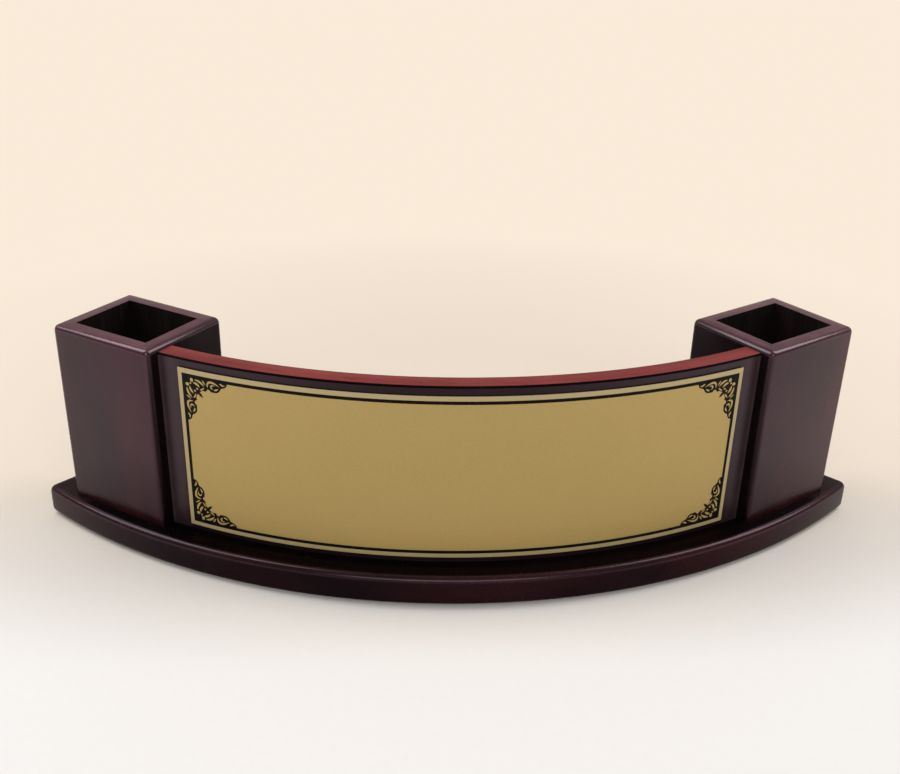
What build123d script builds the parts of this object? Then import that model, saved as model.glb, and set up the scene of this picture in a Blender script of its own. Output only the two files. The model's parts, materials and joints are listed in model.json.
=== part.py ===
from build123d import *
import os
from math import atan2, cos, degrees, radians, sin

# A curved desk name plate: an arc-shaped base, an upright panel bent to the same arc with a
# metal sheet on its front, and a rectangular pen cup at each end. Millimetres, +Z up, the
# front faces -Y. The pieces are drawn about the middle of the arc, which lies behind the
# plate, and are moved at the end so that the origin is under the middle of the base.

# Base and felt
felt_thickness = 1.0
felt_margin = 1.0
base_thickness = 15.0
base_front_ledge = 14.5
base_back_margin = 5.0
base_end_margin = 18.5
base_edge_radius = 3.0
base_corner_radius = 4.0

# Upright panel
panel_front_radius = 290.0
panel_half_angle = 29.1
panel_thickness = 10.0
panel_height = 90.5
band_thickness = 1.0
band_edge_share = 0.6

# Metal sheet and the film that holds it
plate_side_margin = 11.5
plate_top_margin = 4.5
plate_bottom_margin = 3.0
plate_thickness = 0.6
film_thickness = 0.3
film_inset = 2.0
film_clearance = 0.1

# Pen cups
cup_width = 60.8
cup_depth = 51.6
cup_height = 94.0
cup_wall = 8.0
cup_floor_thickness = 8.0
cup_edge_radius = 2.9
cup_turn = 32.5
cup_front_reach = 7.0

# Screws and dowels
screw_shank_diameter = 3.5
screw_head_diameter = 7.0
screw_head_height = 2.0
screw_tip_height = 2.5
screw_clearance = 0.1
panel_screw_bite = 22.0
cup_screw_cover = 2.0
dowel_diameter = 6.0
dowel_chamfer = 0.8
dowel_base_cover = 6.0
dowel_panel_depth = 14.0
dowel_clearance = 0.05
dowel_end_gap = 0.5

# Places along the panel and the cups' floors, as shares of their half lengths
panel_screw_shares = (-0.8, 0.0, 0.8)
panel_dowel_shares = (-0.4, 0.4)
cup_screw_shares = (-0.5, 0.5)

# One overrun for every cut that has to pass through a face
overrun = 1.0

# Levels and radii worked out from the sizes above
base_top = felt_thickness + base_thickness
panel_back_radius = panel_front_radius - panel_thickness
panel_middle_radius = (panel_front_radius + panel_back_radius) / 2
panel_top = base_top + panel_height
film_back_radius = panel_front_radius + film_clearance
plate_back_radius = film_back_radius + film_thickness + film_clearance
base_front_radius = panel_front_radius + base_front_ledge
felt_inset = base_edge_radius + felt_margin
cup_screw_bite = cup_floor_thickness - cup_screw_cover
dowel_base_depth = base_thickness - dowel_base_cover

# Directions of the right cup: along its front towards the end, and out of its front
cup_along = Vector(cos(radians(cup_turn)), sin(radians(cup_turn)))
cup_outward = Vector(sin(radians(cup_turn)), -cos(radians(cup_turn)))


def on_arc(radius, angle):
    """The point at a radius, at an angle from the middle of the front."""
    return Vector(radius * sin(radians(angle)), -radius * cos(radians(angle)))


# The panel's front corner lies on the cup's inner face, behind the cup's front
panel_end = on_arc(panel_front_radius, panel_half_angle)
cup_inner_corner = panel_end + cup_outward * cup_front_reach
cup_middle = cup_inner_corner + cup_along * (cup_width / 2) - cup_outward * (cup_depth / 2)
cup_outer_corner = cup_inner_corner + cup_along * cup_width

# The base reaches behind the cups' back corners
cup_back_corners = [corner - cup_outward * cup_depth for corner in (cup_inner_corner, cup_outer_corner)]
base_back_radius = min(corner.length for corner in cup_back_corners) - base_back_margin

# The base's ends lie on radii of the arc, a margin beyond the cups' outer front corners
base_end = cup_outer_corner + cup_along * base_end_margin
base_half_angle = degrees(atan2(base_end.X, -base_end.Y))


def ring(inner_radius, outer_radius):
    """A flat ring about the middle of the arc."""
    return Circle(outer_radius) - Circle(inner_radius)


def between_lines(point, direction, reach):
    """The region in front of two mirrored lines, one through a point along a direction."""
    apex = Vector(0, point.Y - point.X * direction.Y / direction.X)
    far = apex + direction * reach
    return Polygon((apex.X, apex.Y), (-far.X, far.Y), (far.X, far.Y), align=None)


def radial_region(angle, reach):
    """The region in front of two mirrored radii of the arc."""
    return between_lines(on_arc(reach, angle), on_arc(1, angle), reach)


def base_plan(inset):
    """The base's outline seen from above, drawn in by an inset all round."""
    inward = Vector(-cos(radians(base_half_angle)), -sin(radians(base_half_angle)))
    end_point = base_end + inward * inset
    region = between_lines(end_point, on_arc(1, base_half_angle), base_front_radius * 2)
    return ring(base_back_radius + inset, base_front_radius - inset) & region


def panel_plan():
    """The panel's outline seen from above, its ends cut to the cups' inner faces."""
    region = between_lines(panel_end, cup_outward, base_front_radius * 2)
    return ring(panel_back_radius, panel_front_radius) & region


def arc_sheet(inner_radius, thickness, width, height, bottom):
    """A sheet wrapped round the panel's front, with its width measured on the panel."""
    half_angle = degrees(width / 2 / panel_front_radius)
    region = radial_region(half_angle, base_front_radius * 2)
    outline = ring(inner_radius, inner_radius + thickness) & region
    return Pos(0, 0, bottom) * extrude(outline, height)


def screw(bite, clearance):
    """A countersunk screw, head down, its head's face on the base's underside."""
    shank = screw_shank_diameter / 2 + clearance
    head = screw_head_diameter / 2 + clearance
    shoulder = felt_thickness + screw_head_height
    tip = base_top + bite + clearance
    outline = Polyline(
        (0, felt_thickness),
        (head, felt_thickness),
        (shank, shoulder),
        (shank, tip - screw_tip_height),
        (0, tip),
        close=True,
    )
    return revolve(Plane.XZ * make_face(outline), Axis.Z)


def dowel():
    """A wooden peg, chamfered at both ends, half in the base and half in the panel."""
    length = dowel_base_depth + dowel_panel_depth
    peg = Cylinder(dowel_diameter / 2, length, align=(Align.CENTER, Align.CENTER, Align.MIN))
    peg = chamfer(peg.edges().filter_by(GeomType.CIRCLE), dowel_chamfer)
    return Pos(0, 0, base_top - dowel_base_depth) * peg


def dowel_hole():
    """The hole for a peg, with glue room round it and at both ends."""
    depth = dowel_base_depth + dowel_panel_depth + 2 * dowel_end_gap
    bottom = base_top - dowel_base_depth - dowel_end_gap
    radius = dowel_diameter / 2 + dowel_clearance
    return Pos(0, 0, bottom) * Cylinder(radius, depth, align=(Align.CENTER, Align.CENTER, Align.MIN))


def along_panel(shares, piece):
    """Copies of a piece on the middle of the panel's thickness."""
    places = [on_arc(panel_middle_radius, share * panel_half_angle) for share in shares]
    return [Pos(place.X, place.Y) * piece for place in places]


def at_cup(side, piece):
    """A piece moved from the cup's own frame to the right (1) or left (-1) cup."""
    return Pos(side * cup_middle.X, cup_middle.Y) * Rot(0, 0, side * cup_turn) * piece


def cup_screw_copies(side, piece):
    """Copies of a piece along the middle of a cup's floor."""
    half_floor = cup_width / 2 - cup_wall
    return [at_cup(side, Pos(share * half_floor) * piece) for share in cup_screw_shares]


def cup_tube():
    """A cup's four walls in one, its outer edges rounded and its mouth crisp."""
    upright = (Align.CENTER, Align.CENTER, Align.MIN)
    block = Box(cup_width, cup_depth, cup_height, align=upright)
    rim = block.faces().sort_by(Axis.Z)[-1].edges()
    corners = block.edges().filter_by(Axis.Z)
    block = fillet(corners + rim, cup_edge_radius)
    hole_width = cup_width - 2 * cup_wall
    hole_depth = cup_depth - 2 * cup_wall
    return block - Box(hole_width, hole_depth, cup_height + overrun, align=upright)


def cup_wall_board(tube, across):
    """The board of a cup on one side, mitred at both ends. across points out of that side."""
    half_width = cup_width / 2
    half_depth = cup_depth / 2
    reach = half_width if across.X else half_depth
    spread = half_depth if across.X else half_width
    sideways = Vector(-across.Y, across.X)
    corners = [
        across * reach - sideways * spread,
        across * reach + sideways * spread,
        across * (reach - cup_wall) + sideways * (spread - cup_wall),
        across * (reach - cup_wall) - sideways * (spread - cup_wall),
    ]
    outline = Polygon(*[(corner.X, corner.Y) for corner in corners], align=None)
    return tube & extrude(outline, cup_height)


def cup_floor(side):
    """The board that closes a cup, with its screws' pilot holes."""
    upright = (Align.CENTER, Align.CENTER, Align.MIN)
    size = (cup_width - 2 * cup_wall, cup_depth - 2 * cup_wall, cup_floor_thickness)
    board = at_cup(side, Pos(0, 0, base_top) * Box(*size, align=upright))
    return board - cup_screw_copies(side, screw(cup_screw_bite, screw_clearance))


def base_board():
    """The arc-shaped board, its corners and edges rounded, drilled for every screw and dowel."""
    board = Pos(0, 0, felt_thickness) * extrude(base_plan(0), base_thickness)
    board = fillet(board.edges().filter_by(Axis.Z), base_corner_radius)
    levels = board.faces().sort_by(Axis.Z)
    board = fillet(levels[0].edges() + levels[-1].edges(), base_edge_radius)
    board -= along_panel(panel_screw_shares, screw(panel_screw_bite, screw_clearance))
    board -= along_panel(panel_dowel_shares, dowel_hole())
    for side in (-1, 1):
        board -= cup_screw_copies(side, screw(cup_screw_bite, screw_clearance))
    return board


def name_panel():
    """The curved upright board, drilled from below."""
    panel = Pos(0, 0, base_top) * extrude(panel_plan(), panel_height)
    panel -= along_panel(panel_screw_shares, screw(panel_screw_bite, screw_clearance))
    return panel - along_panel(panel_dowel_shares, dowel_hole())


def panel_edge_band():
    """The thin strip on the panel's top edge, its long edges eased."""
    band = Pos(0, 0, panel_top) * extrude(panel_plan(), band_thickness)
    long_edges = band.faces().sort_by(Axis.Z)[-1].edges().filter_by(GeomType.CIRCLE)
    return fillet(long_edges, band_thickness * band_edge_share)


plate_width = panel_front_radius * radians(2 * panel_half_angle) - 2 * plate_side_margin
plate_height = panel_height + band_thickness - plate_bottom_margin - plate_top_margin
plate_bottom = base_top + plate_bottom_margin
film_width = plate_width - 2 * film_inset
film_height = plate_height - 2 * film_inset
film_bottom = plate_bottom + film_inset

pieces = {
    "base_felt": extrude(base_plan(felt_inset), felt_thickness),
    "base_board": base_board(),
    "name_panel": name_panel(),
    "panel_edge_band": panel_edge_band(),
    "panel_dowels": Compound(children=along_panel(panel_dowel_shares, dowel())),
    "panel_screws": Compound(children=along_panel(panel_screw_shares, screw(panel_screw_bite, 0))),
    "name_plate": arc_sheet(plate_back_radius, plate_thickness, plate_width, plate_height, plate_bottom),
    "plate_adhesive": arc_sheet(film_back_radius, film_thickness, film_width, film_height, film_bottom),
}

tube = cup_tube()
for name, side in (("left", -1), ("right", 1)):
    walls = {
        "front": Vector(0, -1),
        "back": Vector(0, 1),
        "inner_side": Vector(-side, 0),
        "outer_side": Vector(side, 0),
    }
    for wall, across in walls.items():
        board = Pos(0, 0, base_top) * cup_wall_board(tube, across)
        pieces[f"{name}_cup_{wall}"] = at_cup(side, board)
    pieces[f"{name}_cup_floor"] = cup_floor(side)
    pieces[f"{name}_cup_screws"] = Compound(children=cup_screw_copies(side, screw(cup_screw_bite, 0)))

os.makedirs("parts", exist_ok=True)
middle = pieces["base_board"].bounding_box().center().Y
for name, piece in pieces.items():
    export_step(Pos(0, -middle) * piece, f"parts/{name}.step")
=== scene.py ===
# %% [markdown]
# # A curved desk name plate in dark lacquered wood
# The object is a small piece of joinery: an arc-shaped base board on felt, an upright panel bent to the
# same arc with a gold-coloured metal sheet on its front, and a mitred pen cup at each end. The packed
# model is loaded first, because every piece made here has to sit where the construction says.

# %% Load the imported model
import json
from math import atan2, cos, pi, radians, sin, sqrt

import bmesh
import bpy
from mathutils import Matrix, Vector

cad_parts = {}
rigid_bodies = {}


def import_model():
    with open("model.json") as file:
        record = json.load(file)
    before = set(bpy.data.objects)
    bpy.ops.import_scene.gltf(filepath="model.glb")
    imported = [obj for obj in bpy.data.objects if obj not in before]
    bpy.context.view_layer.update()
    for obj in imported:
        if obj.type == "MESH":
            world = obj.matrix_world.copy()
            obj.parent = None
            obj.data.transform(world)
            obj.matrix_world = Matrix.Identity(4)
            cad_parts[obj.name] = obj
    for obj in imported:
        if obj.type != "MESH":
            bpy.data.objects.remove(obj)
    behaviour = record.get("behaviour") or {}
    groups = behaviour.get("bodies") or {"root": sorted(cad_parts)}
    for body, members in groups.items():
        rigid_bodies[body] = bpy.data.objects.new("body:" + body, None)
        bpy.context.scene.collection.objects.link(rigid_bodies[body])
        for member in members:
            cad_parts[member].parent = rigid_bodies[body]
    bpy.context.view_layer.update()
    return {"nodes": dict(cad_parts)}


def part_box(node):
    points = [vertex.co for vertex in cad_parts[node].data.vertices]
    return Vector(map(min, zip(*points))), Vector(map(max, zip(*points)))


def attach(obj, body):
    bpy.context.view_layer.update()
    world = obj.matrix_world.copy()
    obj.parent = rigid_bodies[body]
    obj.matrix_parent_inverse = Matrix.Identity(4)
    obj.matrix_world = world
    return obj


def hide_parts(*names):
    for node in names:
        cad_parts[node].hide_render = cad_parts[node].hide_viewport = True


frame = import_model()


def rounded(values):
    """Numbers cut to four places, for printing."""
    return [round(value, 4) for value in values]


# %% [markdown]
# Everything on this object follows one arc, whose middle lies behind the plate. The panel's front face is
# the arc's radius in front of that middle, which is how the middle is found. The cups stand on two lines
# turned away from it, and their inner faces cut the panel's ends.

# %% Find the arc and the cups in the frame
panel_radius = 0.290
panel_thickness = 0.010
cup_turn = radians(32.5)
cup_size = Vector((0.0608, 0.0516, 0.094))
cup_wall = 0.008
panel_low, panel_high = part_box("name_panel")
base_low, base_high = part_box("base_board")
floor_low, floor_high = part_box("right_cup_floor")
arc_middle = Vector((0, panel_low.y + panel_radius, 0))
cup_middle = (floor_low + floor_high) / 2
cup_middle.z = base_high.z
cup_along = Vector((cos(cup_turn), sin(cup_turn), 0))
cup_outward = Vector((sin(cup_turn), -cos(cup_turn), 0))


def on_arc(radius, angle, level):
    """The point at a radius and an angle from the middle of the front."""
    return arc_middle + Vector((radius * sin(angle), -radius * cos(angle), level))


def radius_at(point):
    """How far a point is from the arc's middle, seen from above."""
    return (point - arc_middle).xy.length


print("arc middle", rounded(arc_middle), "right cup", rounded(cup_middle))

# %% [markdown]
# Modelling by operators works on whatever is selected, so a few small helpers keep the selection honest:
# one selects a single object, one steps into edit mode, and one selects only the faces or edges that pass
# a test on their place or direction.

# %% Helpers for selecting
def deselect():
    """Selects nothing, so that the next operator starts clean."""
    bpy.ops.object.select_all(action="DESELECT")


def only(piece):
    """Selects one object alone and makes it the active one."""
    deselect()
    piece.select_set(True)
    bpy.context.view_layer.objects.active = piece


def edit(piece):
    """Enters edit mode on one object with all of it selected."""
    only(piece)
    bpy.ops.object.mode_set(mode="EDIT")
    bpy.ops.mesh.select_all(action="SELECT")


def done():
    """Leaves edit mode."""
    bpy.ops.object.mode_set(mode="OBJECT")


def pick(piece, kind, test):
    """In edit mode, selects only the EDGE or FACE items that pass a test, and counts them."""
    bpy.ops.mesh.select_mode(type=kind)
    bpy.ops.mesh.select_all(action="DESELECT")
    mesh = bmesh.from_edit_mesh(piece.data)
    chosen = [item for item in (mesh.edges if kind == "EDGE" else mesh.faces) if test(item)]
    for item in chosen:
        item.select_set(True)
    mesh.select_flush_mode()
    bmesh.update_edit_mesh(piece.data)
    return len(chosen)


print("ready to select in", bpy.context.mode.lower(), "mode")

# %% [markdown]
# A piece starts as a unit primitive that is scaled to its size, and its place, turn and scale then go into
# its mesh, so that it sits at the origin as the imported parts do. Cutting and spinning leave doubled points
# and faces that look inwards, so both are mended before a piece counts as done.

# %% Helpers for sizing and closing a mesh
millimetre = 0.001
tiny = 1e-6


def settle():
    """Puts the selected object's place, turn and scale into its mesh."""
    bpy.ops.object.transform_apply(location=True, rotation=True, scale=True)


def fresh(name, size):
    """Names the unit primitive that was just added and gives it its size."""
    piece = bpy.context.active_object
    piece.name = name
    piece.data.name = name
    piece.scale = size
    settle()
    return piece


def close_up():
    """In edit mode, merges doubles and turns every face outwards."""
    bpy.ops.mesh.select_all(action="SELECT")
    bpy.ops.mesh.remove_doubles(threshold=tiny)
    bpy.ops.mesh.normals_make_consistent(inside=False)


def report(piece):
    """Prints a finished piece's size, and how many of its edges don't have exactly two faces."""
    mesh = bmesh.new()
    mesh.from_mesh(piece.data)
    loose = sum(not edge.is_manifold for edge in mesh.edges)
    mesh.free()
    size = [round(side / millimetre, 2) for side in piece.dimensions]
    print(piece.name, "size mm", size, "open edges", loose)


print("doubles merge within", tiny, "m")

# %% [markdown]
# Rounded edges on lacquered wood catch the light: hands and cloths polish them, and the stain is worn thin
# there. The rounding comes from a bevel with an odd number of segments, so that a later mitre cut runs
# down the middle of one facet and leaves no shading seam. The inner rows of each bevel get a vertex value
# named rub_and_painted_light, which the wood's material reads as paler stain and more polish. On a bevel
# it is wear; set later on some faces, it is painted light. A surface with two finishes, such as a board
# that is dull on one side, gets its second material slot in edit mode too.

# %% Round edges and mark them as rubbed
round_segments = 7
bevel_rub = 0.12
smooth_angle = radians(35)


def mark_rub_and_light(piece, test, rub_and_light):
    """In edit mode, gives the vertices that pass a test a share of the rub mark, which the callers use for
    wear and for painted light.
    """
    mesh = bmesh.from_edit_mesh(piece.data)
    layer = mesh.verts.layers.float.get("rub_and_painted_light") or mesh.verts.layers.float.new("rub_and_painted_light")
    for vert in mesh.verts:
        if test(vert):
            vert[layer] = rub_and_light
    bmesh.update_edit_mesh(piece.data)


def round_edges(piece, radius, test, rub_and_light=0):
    """In edit mode, rounds the edges that pass a test and marks the inner rows of the new faces."""
    count = pick(piece, "EDGE", test)
    bpy.ops.mesh.bevel(offset=radius, segments=round_segments, affect="EDGES", clamp_overlap=True)
    bpy.ops.mesh.select_less()
    mark_rub_and_light(piece, lambda vert: vert.select, rub_and_light)
    return count


def two_finishes(piece, test):
    """In edit mode, makes two material slots and puts the faces that pass a test in the second."""
    piece.data.materials.append(None)
    piece.data.materials.append(None)
    count = pick(piece, "FACE", test)
    piece.active_material_index = 1
    bpy.ops.object.material_slot_assign()
    return count


def smooth(piece):
    """Shades the rounded parts smooth and keeps the crisp edges crisp."""
    only(piece)
    bpy.ops.object.shade_smooth_by_angle(angle=smooth_angle)


def complete(piece):
    """Leaves edit mode, shades a piece and prints what it measures."""
    done()
    smooth(piece)
    report(piece)


print("edges round in", round_segments, "segments")

# %% [markdown]
# A curved board could be bent with a modifier, but a spin is exact: the board's rectangular section is
# added as a plane at the right end of the arc and spun about the arc's middle to the left end. Seen from
# above, spin turns clockwise. It keeps the first and last sections as the board's end faces.

# %% Spin a rectangular section along the arc
def bent_board(name, radii, levels, half_angle, steps):
    """A board of rectangular section that follows the arc from one end to the other."""
    inner, outer = radii
    low, high = levels
    deselect()
    bpy.ops.mesh.primitive_plane_add(
        size=1,
        location=on_arc((inner + outer) / 2, half_angle, (low + high) / 2),
        rotation=(0, pi / 2, half_angle),
    )
    board = fresh(name, (high - low, outer - inner, 1))
    edit(board)
    bpy.ops.mesh.spin(steps=steps, angle=2 * half_angle, center=arc_middle, axis=(0, 0, 1))
    close_up()
    return board


def trim(point, outward):
    """In edit mode, cuts the whole mesh with a plane, drops what lies outside and closes the cut."""
    bpy.ops.mesh.select_all(action="SELECT")
    bpy.ops.mesh.bisect(plane_co=point, plane_no=outward, use_fill=True, clear_outer=True)


print("boards follow a radius of", panel_radius, "m")

# %% [markdown]
# Before an edge is rounded it has to be found. These tests tell upright edges from level ones, and an
# outline from the edges inside a flat face, by the places of their ends and the faces beside them.

# %% Tests that find edges
flat_enough = 0.9999
near_enough = 1e-4


def upright(edge):
    """Whether an edge stands along Z."""
    return (edge.verts[0].co - edge.verts[1].co).xy.length < tiny


def level_at(edge, height):
    """Whether both ends of an edge lie at a height."""
    return all(abs(vert.co.z - height) < tiny for vert in edge.verts)


def at_end(edge, half_angle):
    """Whether an edge lies on one of the two end faces of a bent board."""
    angles = [atan2(vert.co.x, arc_middle.y - vert.co.y) for vert in edge.verts]
    return all(abs(abs(angle) - half_angle) < near_enough for angle in angles)


def on_rim(edge, height):
    """Whether an edge is part of the outline of the flat face at a height."""
    flat = sum(abs(face.normal.z) > flat_enough for face in edge.link_faces)
    return level_at(edge, height) and flat == 1


print("edges count as level within", tiny, "m")

# %% [markdown]
# The base is a 15 mm board cut as part of a ring, its ends on radii of the arc. On the real one a router
# has rounded the top and bottom edges after the four corners were sanded round, so the bevels come in
# that order. Its flat top has a dull finish of its own whose near-black colour is painted shade, standing
# for the shade in front of the panel. The top near the two ends is marked as much as an edge, which is
# painted light there.

# %% Model the base board
base_end_margin = 0.0185
base_back_margin = 0.005
base_corner_radius = 0.004
base_edge_radius = 0.003
base_steps = 72
base_rub = 0.06
lit_end_length = 0.022
cup_half_along = cup_along * cup_size.x / 2
cup_half_outward = cup_outward * cup_size.y / 2
base_front = arc_middle.y - base_low.y
base_back = radius_at(cup_middle - cup_half_along - cup_half_outward) - base_back_margin
base_end = cup_middle + cup_half_along + cup_along * base_end_margin + cup_half_outward - arc_middle
base_half_angle = atan2(base_end.x, -base_end.y)
lit_end_from = base_end.x - lit_end_length
base = bent_board(
    "base_board_lacquered",
    (base_back, base_front),
    (base_low.z, base_high.z),
    base_half_angle,
    base_steps,
)
corner_count = round_edges(
    base, base_corner_radius, lambda e: upright(e) and at_end(e, base_half_angle), base_rub
)
top_count = round_edges(base, base_edge_radius, lambda e: on_rim(e, base_high.z), base_rub)
foot_count = round_edges(base, base_edge_radius, lambda e: on_rim(e, base_low.z))
# Painted light: the top near the two ends is marked like an edge, so it turns paler and polished, lit where
# the rest of the top is painted shade.
mark_rub_and_light(base, lambda v: v.co.z > base_high.z - tiny and abs(v.co.x) > lit_end_from, bevel_rub)
close_up()
# Painted shade: the flat top faces get the near-black dull finish, standing in for the shade in front of the
# panel.
two_finishes(base, lambda f: f.normal.z > flat_enough)
complete(base)
print("corners", corner_count, "top edges", top_count, "bottom edges", foot_count)

# %% [markdown]
# Under the base a thin felt keeps the desk from being scratched. It is cut a little smaller than the
# board, and a cut felt edge is soft, so its lower edge is rounded too.

# %% Model the felt
felt_low, felt_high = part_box("base_felt")
felt_margin = 0.001
felt_ease = 0.0003
felt_inset = base_edge_radius + felt_margin
felt_half_angle = base_half_angle - felt_inset / base_front
felt = bent_board(
    "base_felt_pad",
    (base_back + felt_inset, base_front - felt_inset),
    (felt_low.z, felt_high.z),
    felt_half_angle,
    base_steps,
)
round_edges(felt, felt_ease, lambda e: on_rim(e, felt_low.z))
close_up()
complete(felt)

# %% [markdown]
# The panel is a bent, laminated board whose ends are cut to lie flat on the cups' inner faces. It is
# spun longer than needed and cut with a plane at each end, which leaves the ends exactly on the cups.
# A strip beside each cut is painted lighter and greyer, and the cut itself lighter still: painted light
# that offsets the shade and dark reflection that the cups give the panel's ends.

# %% Model the bent panel
panel_steps = 64
panel_over_angle = radians(34)
end_painted_light = 0.45
strip_painted_light = 0.14
strip_width = 0.012
panel_radii = (panel_radius - panel_thickness, panel_radius)
cup_inner_point = cup_middle - cup_half_along


def mirrored(vector):
    """The same vector on the left half."""
    return Vector((-vector.x, vector.y, vector.z))


def cut_to_cups():
    """In edit mode, cuts a board's ends on the inner faces of both cups."""
    trim(cup_inner_point, cup_along)
    trim(mirrored(cup_inner_point), mirrored(cup_along))


def to_cut_end(point):
    """How far a point is from the nearer of the two cut ends."""
    right_half = Vector((abs(point.x), point.y, point.z))
    return (cup_inner_point - right_half).dot(cup_along)


panel = bent_board(
    "name_panel_lacquered", panel_radii, (panel_low.z, panel_high.z), panel_over_angle, panel_steps
)
cut_to_cups()
# Painted light: the strip beside each cut and the cut itself are marked to turn lighter.
mark_rub_and_light(panel, lambda v: to_cut_end(v.co) < strip_width, strip_painted_light)
mark_rub_and_light(panel, lambda v: to_cut_end(v.co) < tiny, end_painted_light)
close_up()
complete(panel)

# %% [markdown]
# A red strip of wood covers the panel's top edge. Only its top shows red: its two long edges are eased, and
# every face but the top gets a second, near-black finish, which paints a dark shade line along the edges.

# %% Model the edge band
band_low, band_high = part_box("panel_edge_band")
band_ease = 0.0006
band = bent_board(
    "panel_edge_band_red", panel_radii, (band_low.z, band_high.z), panel_over_angle, panel_steps
)
cut_to_cups()


def long_top_edge(edge):
    """Whether an edge runs along the arc at the band's top."""
    start, end = (radius_at(vert.co) for vert in edge.verts)
    return level_at(edge, band_high.z) and abs(start - end) < near_enough


round_edges(band, band_ease, long_top_edge)
close_up()
# Painted shade: all faces but the top take the near-black finish, a dark line along the band's edges.
dark_count = two_finishes(band, lambda f: f.normal.z < flat_enough)
complete(band)
print("dark faces on the band", dark_count)

# %% [markdown]
# The gold sheet is 0.6 mm metal on a film of adhesive. It is spun like the boards, and its cut edges get
# a hair of a bevel, without which a thin bright sheet looks like paper.

# %% Model the gold sheet
sheet_low, sheet_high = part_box("name_plate")
sheet_thickness = 0.0006
sheet_ease = 0.00012
sheet_steps = 72
sheet_front = arc_middle.y - sheet_low.y
sheet_half_angle = atan2(sheet_high.x, sqrt(sheet_front ** 2 - sheet_high.x ** 2))
sheet = bent_board(
    "name_plate_sheet",
    (sheet_front - sheet_thickness, sheet_front),
    (sheet_low.z, sheet_high.z),
    sheet_half_angle,
    sheet_steps,
)


def front_outline(edge):
    """Whether an edge is part of the outline of the sheet's front face."""
    outline = level_at(edge, sheet_high.z) or level_at(edge, sheet_low.z) or at_end(edge, sheet_half_angle)
    return outline and min(radius_at(vert.co) for vert in edge.verts) > sheet_front - sheet_thickness / 2


round_edges(sheet, sheet_ease, front_outline)
close_up()
complete(sheet)

# %% [markdown]
# Each pen cup is four boards mitred at 45 degrees, so no joint shows on its faces. The whole tube is
# modelled once from a cube: its upright and top edges are rounded, the top face is inset by the wall and
# pushed right through to the bottom, and the bottom ring is bridged. The rim is made palest, and the upper
# part of its rounding nearly as pale: partly wear from pens and hands, partly painted light on these upward
# faces. The inside of the real cup is stained dark and not polished, so its four faces get a material slot
# of their own.

# %% Model one cup tube
cup_edge_radius = 0.0029
rim_wear_and_light = 0.7
brow_wear_and_light = 0.4
brow_share = 0.4
half_width = cup_size.x / 2
half_depth = cup_size.y / 2
deselect()
bpy.ops.mesh.primitive_cube_add(size=1, location=(0, 0, cup_size.z / 2))
tube = fresh("cup_tube", cup_size)
edit(tube)
round_edges(tube, cup_edge_radius, lambda e: upright(e) or level_at(e, cup_size.z), bevel_rub)
pick(tube, "FACE", lambda f: f.normal.z > flat_enough)
bpy.ops.mesh.inset(thickness=cup_wall - cup_edge_radius, depth=0, use_even_offset=True)
bpy.ops.mesh.extrude_region_move(TRANSFORM_OT_translate={"value": (0, 0, -cup_size.z)})
pick(tube, "FACE", lambda f: abs(f.calc_center_median().z) < tiny)
bpy.ops.mesh.delete(type="ONLY_FACE")
pick(tube, "EDGE", lambda e: level_at(e, 0) and e.is_boundary)
bpy.ops.mesh.bridge_edge_loops()
close_up()


def inside_cup(face):
    """Whether a face is one of the four that line the cup."""
    middle = face.calc_center_median()
    return abs(middle.x) < half_width - cup_wall + tiny and abs(middle.y) < half_depth - cup_wall + tiny


lining_count = two_finishes(tube, inside_cup)
# Wear and painted light: the rim and the upper part of its rounding are marked paler.
mark_rub_and_light(tube, lambda v: v.co.z > cup_size.z - cup_edge_radius * brow_share, brow_wear_and_light)
mark_rub_and_light(tube, lambda v: v.co.z > cup_size.z - tiny, rim_wear_and_light)
complete(tube)
print("faces that line the cup", lining_count)

# %% [markdown]
# Copies of the tube are cut down to one board each by the two mitre planes that pass through its outer
# and inner corners, then turned and moved to their cup. The left cup mirrors the right one. Wear streaks
# the rim along each board, so every vertex also keeps its place along and across its own board, a good
# way apart from the other boards, so that no two rims are streaked alike.

# %% Cut the tube into mitred boards and place them
cup_sides = {"left": -1, "right": 1}
cup_boards = []
board_apart = 0.05


def keep_place(board, across):
    """In edit mode, stores where each vertex lies along and across its board."""
    mesh = bmesh.from_edit_mesh(board.data)
    layer = mesh.verts.layers.float_vector.new("board_place")
    for vert in mesh.verts:
        along = vert.co.y if across.x else vert.co.x
        vert[layer] = (along, vert.co.dot(across), len(cup_boards) * board_apart)
    bmesh.update_edit_mesh(board.data)


def mitred_board(name, across):
    """The part of the tube on one side, between its two mitre planes. across points out of that side."""
    board = tube.copy()
    board.data = tube.data.copy()
    board.name = name
    board.data.name = name
    bpy.context.scene.collection.objects.link(board)
    edit(board)
    outer, half_length = (half_width, half_depth) if across.x else (half_depth, half_width)
    for hand in (1, -1):
        sideways = Vector((-across.y, across.x, 0)) * hand
        trim(across * outer + sideways * half_length, sideways - across)
    close_up()
    keep_place(board, across)
    done()
    smooth(board)
    return board


def to_cup(piece, side):
    """Turns and moves a piece from the cup's own frame to the left (-1) or right (1) cup."""
    place = Vector((side * cup_middle.x, cup_middle.y, cup_middle.z))
    piece.matrix_world = Matrix.Translation(place) @ Matrix.Rotation(side * cup_turn, 4, "Z")
    only(piece)
    settle()


for cup, side in cup_sides.items():
    outs = {"front": (0, -1, 0), "back": (0, 1, 0), "inner_side": (-side, 0, 0), "outer_side": (side, 0, 0)}
    for wall, out in outs.items():
        board = mitred_board(f"{cup}_cup_{wall}_board", Vector(out))
        to_cup(board, side)
        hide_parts(f"{cup}_cup_{wall}")
        cup_boards.append(board)
        report(board)
bpy.data.objects.remove(tube)

# %% [markdown]
# A loose-fitting floor board closes each cup. Its upper edge is eased so that it drops in between the
# walls, which leaves a thin shadow line all round.

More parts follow.
